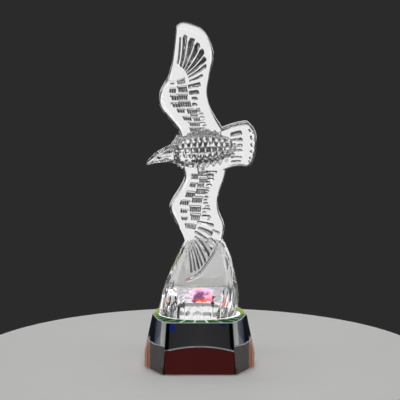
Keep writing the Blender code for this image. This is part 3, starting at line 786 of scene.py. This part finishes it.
def makeSmokyCrystal():
    # smoky crystal block, cut and polished: flat, dark and mirror-bright; its top has an iridescent coat,
    # green where it is seen bare
    # Painted light on this block: painted reflections on the corner facets, painted shade in the black bars,
    # painted blue gleams, painted pale rays and a painted white rim on the coat, and a painted glow where
    # the coat under the foot emits light.
    material, tree, shader = newMaterial("smokyCrystalCoatedTopPaintedLight")
    coords = addNode(tree, "ShaderNodeTexCoord").outputs["Object"]
    place = addNode(tree, "ShaderNodeSeparateXYZ", None, {"Vector": coords}).outputs
    normal = addNode(tree, "ShaderNodeNewGeometry").outputs["True Normal"]
    facing = addNode(tree, "ShaderNodeSeparateXYZ", None, {"Vector": normal}).outputs["Z"]
    upward = {0: facing, 1: upperBlock["topFrom"]}
    upward = addNode(tree, "ShaderNodeMath", {"operation": "GREATER_THAN"}, upward).outputs[0]

    onTop = addNode(tree, "ShaderNodeCombineXYZ", None, {"X": place["X"], "Y": place["Y"]}).outputs[0]
    away = awayFrom(tree, onTop, (0, 0, foot["width"] / 2, foot["depth"] / 2))
    isBare = {0: away, 1: upperBlock["bareFrom"]}
    isBare = addNode(tree, "ShaderNodeMath", {"operation": "GREATER_THAN"}, isBare).outputs[0]
    look = {0: isBare, 6: coloursAcross(tree, away, upperBlock["coat"]), 7: makeBareCoat(tree, place)}
    coat = addNode(tree, "ShaderNodeMix", colourMix, look).outputs[2]
    under, top = makeFlares(tree, coords, onTop, away, coat)
    look = {0: upward, 6: makeSides(tree, place), 7: top}
    colour = addNode(tree, "ShaderNodeMix", colourMix, look).outputs[2]
    tree.links.new(colour, shader.inputs["Base Color"])

    bareTop = addNode(tree, "ShaderNodeMath", {"operation": "MULTIPLY"}, {0: upward, 1: isBare}).outputs[0]
    metal = {0: bareTop, 1: upperBlock["coatMetal"]}
    metal = addNode(tree, "ShaderNodeMath", {"operation": "MULTIPLY"}, metal).outputs[0]
    tree.links.new(metal, shader.inputs["Metallic"])
    look = {0: upward, 6: (1, 1, 1, 1), 7: top}
    tint = addNode(tree, "ShaderNodeMix", colourMix, look).outputs[2]
    tree.links.new(tint, shader.inputs["Specular Tint"])
    look = {"Value": upward, "To Min": crystal["cutRoughness"], "To Max": upperBlock["coatRoughness"]}
    roughness = addNode(tree, "ShaderNodeMapRange", None, look).outputs[0]
    tree.links.new(roughness, shader.inputs["Roughness"])
    shader.inputs["IOR"].default_value = crystal["ior"]

    # painted glow: the coat under the foot emits its own colours as light
    covered = addNode(tree, "ShaderNodeMath", {"operation": "SUBTRACT"}, {0: upward, 1: bareTop}).outputs[0]
    tree.links.new(top, shader.inputs["Emission Color"])
    tree.links.new(makePaintedGlow(tree, place, covered, under), shader.inputs["Emission Strength"])
    return material


lowerBlock = {
    # across the block: front, corner facets darkened as painted shade, and the sides painted bright as a
    # painted reflection
    "bandsWithPaintedLight": (
        (0.0, "#6A2A28"), (0.0340, "#6A2A28"), (0.0352, "#2A1616"), (0.0490, "#241414"), (0.0508, "#D8835C"),
        (0.0520, "#7A4630"), (0.0532, "#E8946A"), (0.0560, "#E8946A"),
    ),
    "cloud": "#1C0C0C",  # faint darker clouds in the glass: colour, share and size
    "cloudShare": 0.15,
    "cloudSize": 0.025,
}


def makeRedBrownCrystal():
    # red-brown crystal block, coloured in the melt, cut and polished: deep, even colour behind flat gloss;
    # its corner facets carry painted shade and its sides a painted reflection
    material, tree, shader = newMaterial("redBrownCrystalPaintedLight")
    coords = addNode(tree, "ShaderNodeTexCoord").outputs["Object"]
    place = addNode(tree, "ShaderNodeSeparateXYZ", None, {"Vector": coords}).outputs
    across = addNode(tree, "ShaderNodeMath", {"operation": "ABSOLUTE"}, {0: place["X"]}).outputs[0]
    look = {"Vector": coords, "Scale": 1 / lowerBlock["cloudSize"]}
    clouds = addNode(tree, "ShaderNodeTexNoise", None, look).outputs["Fac"]
    faint = {0: clouds, 1: lowerBlock["cloudShare"]}
    faint = addNode(tree, "ShaderNodeMath", {"operation": "MULTIPLY"}, faint).outputs[0]
    look = {0: faint, 6: coloursAcross(tree, across, lowerBlock["bandsWithPaintedLight"]), 7: hexColour(lowerBlock["cloud"])}
    colour = addNode(tree, "ShaderNodeMix", colourMix, look).outputs[2]
    tree.links.new(colour, shader.inputs["Base Color"])
    shader.inputs["Roughness"].default_value = crystal["cutRoughness"]
    shader.inputs["IOR"].default_value = crystal["ior"]
    return material


arris = {
    "width": 0.0005,
    # the two pale colours of the painted highlight on the edges
    "colours": ("#F4F2F6", "#E4E0E8"),
    "marks": 0.002,  # real wear marks are finer, and are drawn this large so that they show
    "roughness": 0.2,
    "steepest": 0.35,  # only edges that rise less than this are rounded
    "sharpFrom": 0.1,  # and only where the faces meet at more than this angle
    "flatFrom": 0.95,  # faces that look at least so much to the front or back stay quite flat
}


def makeArris():
    # the polished edges between facets, painted pale as a painted highlight where they catch the light, with
    # faint wear from handling
    material, tree, shader = newMaterial("arrisPaintedHighlight")
    coords = addNode(tree, "ShaderNodeTexCoord").outputs["Object"]
    look = {"Vector": coords, "Scale": 1 / arris["marks"]}
    wearOnPaintedHighlight = addNode(tree, "ShaderNodeTexNoise", None, look).outputs["Fac"]
    bright, dull = (hexColour(colour) for colour in arris["colours"])
    colour = addNode(tree, "ShaderNodeMix", colourMix, {0: wearOnPaintedHighlight, 6: bright, 7: dull}).outputs[2]
    tree.links.new(colour, shader.inputs["Base Color"])
    shader.inputs["Roughness"].default_value = arris["roughness"]
    shader.inputs["IOR"].default_value = crystal["ior"]
    return material


def edgeSlope(edge):
    run = edge.verts[0].co - edge.verts[1].co
    return run.z / max(run.length, 1e-9)


def makeBlock(name, node, materials):
    bm = bmesh.new()
    bm.from_mesh(node.data)
    bm.transform(node.matrix_world)
    bmesh.ops.remove_doubles(bm, verts=bm.verts, dist=1e-6)
    bmesh.ops.dissolve_limit(bm, angle_limit=0.01, verts=bm.verts, edges=bm.edges)
    flats = [face for face in bm.faces if abs(face.normal.y) > arris["flatFrom"]]
    planes = [(face.normal.copy(), face.verts[0].co.copy()) for face in flats]
    sharp = [edge for edge in bm.edges if edge.calc_face_angle(0) > arris["sharpFrom"]]
    level = [edge for edge in sharp if abs(edgeSlope(edge)) < arris["steepest"]]
    rounded = bmesh.ops.bevel(bm, geom=level, offset=arris["width"], affect="EDGES", segments=2,
                              profile=0.5, material=-1)
    for face in rounded["faces"]:
        face.material_index = 1
    for face in bm.faces:
        face.smooth = False
        if face.material_index == 0 and abs(face.normal.y) > arris["flatFrom"]:
            normal, point = max(planes, key=lambda plane: plane[0].dot(face.normal))
            for vert in face.verts:
                vert.co -= normal * (vert.co - point).dot(normal)
    piece = newObject(name, bm)
    for material in materials:
        piece.data.materials.append(material)
    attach(piece, "root")
    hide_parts(node.name)


eaglePiece.data.materials.clear()
eaglePiece.data.materials.append(makeClearCrystal())
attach(eaglePiece, "root")
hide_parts("crystal_eagle")

edges = makeArris()
makeBlock("smokyBlock", nodes["upper_base_block"], (makeSmokyCrystal(), edges))
makeBlock("redBrownBlock", nodes["lower_base_block"], (makeRedBrownCrystal(), edges))
print("stage: finishes")


# Studio and camera

studio = {
    "floorRadius": 0.24,
    "floorColours": ("#DEDEDC", "#DADAD8"),
    "floorMottle": 0.016667,  # the size of the paint's clouds
    "floorRoughness": 0.6,
    "worldColour": "#2B2B2C",
    "ringRadius": 1.70,
    # White panels round the trophy, which show only in it and through it: each one's direction in degrees
    # from the front, width, low edge, high edge and brightness. Three stand behind it, one above the other,
    # then one at each side, and one high up in front.
    "panels": (
        (180, 1.20, -0.42, 0.50, 0.85),
        (180, 1.60, -0.75, -0.42, 0.52),
        (180, 0.80, 0.50, 0.80, 0.30),
        (82, 1.50, -0.90, 0.60, 1.0),
        (-82, 1.50, -0.90, 0.60, 1.0),
        (0, 0.90, 0.70, 1.50, 1.0),
    ),
    # Two brighter ones stand to either side of the front. They show in the foot's sides, and light nothing
    # that is matt.
    "sidePanels": (
        (46, 0.70, -0.05, 1.10, 2.9),
        (-46, 0.70, -0.05, 1.10, 2.9),
    ),
    "topLight": (1.7, 1.0, 6.0),  # the soft box over it: height, side and brightness
}


def makeFloor():
    bm = bmesh.new()
    bmesh.ops.create_circle(bm, cap_ends=True, segments=96, radius=studio["floorRadius"])
    floor = newObject("floor", bm)
    # matt paint, rolled on, so very faintly mottled
    material, tree, shader = newMaterial("palePaintedFloor")
    coords = addNode(tree, "ShaderNodeTexCoord").outputs["Object"]
    look = {"Vector": coords, "Scale": 1 / studio["floorMottle"]}
    mottle = addNode(tree, "ShaderNodeTexNoise", None, look).outputs["Fac"]
    light, dark = (hexColour(colour) for colour in studio["floorColours"])
    colour = addNode(tree, "ShaderNodeMix", colourMix, {0: mottle, 6: light, 7: dark}).outputs[2]
    tree.links.new(colour, shader.inputs["Base Color"])
    shader.inputs["Roughness"].default_value = studio["floorRoughness"]
    floor.data.materials.append(material)


def makeLight(name, place, aim, sizeX, sizeY, brightness):
    data = bpy.data.lights.new(name, "AREA")
    data.shape = "RECTANGLE"
    data.size = sizeX
    data.size_y = sizeY
    data.energy = brightness * math.pi * sizeX * sizeY
    lamp = bpy.data.objects.new(name, data)
    bpy.context.scene.collection.objects.link(lamp)
    lamp.location = place
    lamp.rotation_euler = (Vector(aim) - Vector(place)).to_track_quat("-Z", "Y").to_euler()
    lamp.visible_camera = False
    return lamp


def makeStudio():
    panels = studio["panels"] + studio["sidePanels"]
    for index, (turn, width, low, high, brightness) in enumerate(panels):
        angle = math.radians(turn)
        radius = studio["ringRadius"]
        middle = (low + high) / 2
        place = (radius * math.sin(angle), -radius * math.cos(angle), middle)
        lamp = makeLight("panel" + str(index), place, (0, 0, middle), width, high - low, brightness)
        lamp.visible_diffuse = index < len(studio["panels"])
    height, side, brightness = studio["topLight"]
    makeLight("topBox", (0, 0, height), (0, 0, 0), side, side, brightness)
    world = bpy.data.worlds.new("studio")
    bpy.context.scene.world = world
    world.use_nodes = True
    world.node_tree.nodes["Background"].inputs["Color"].default_value = hexColour(studio["worldColour"])


camera = {
    "target": (0.0005, 0.0, 0.1700),
    "distance": 5.0,
    "elevation": 12.5,  # degrees above the horizon
    "frameWidth": 0.400,  # metres of the middle plane that fill the picture
    "sensor": 36,  # millimetres
}


def makeCamera():
    data = bpy.data.cameras.new("camera")
    eye = bpy.data.objects.new("camera", data)
    bpy.context.scene.collection.objects.link(eye)
    tilt = math.radians(camera["elevation"])
    direction = Vector((0, -math.cos(tilt), math.sin(tilt)))
    eye.location = Vector(camera["target"]) + direction * camera["distance"]
    eye.rotation_euler = (-direction).to_track_quat("-Z", "Y").to_euler()
    data.sensor_width = camera["sensor"]
    data.lens = camera["sensor"] * camera["distance"] / camera["frameWidth"]
    data.clip_end = 50
    bpy.context.scene.camera = eye


makeFloor()
makeStudio()
makeCamera()
bpy.context.scene.view_settings.view_transform = "Standard"
print("stage: studio")
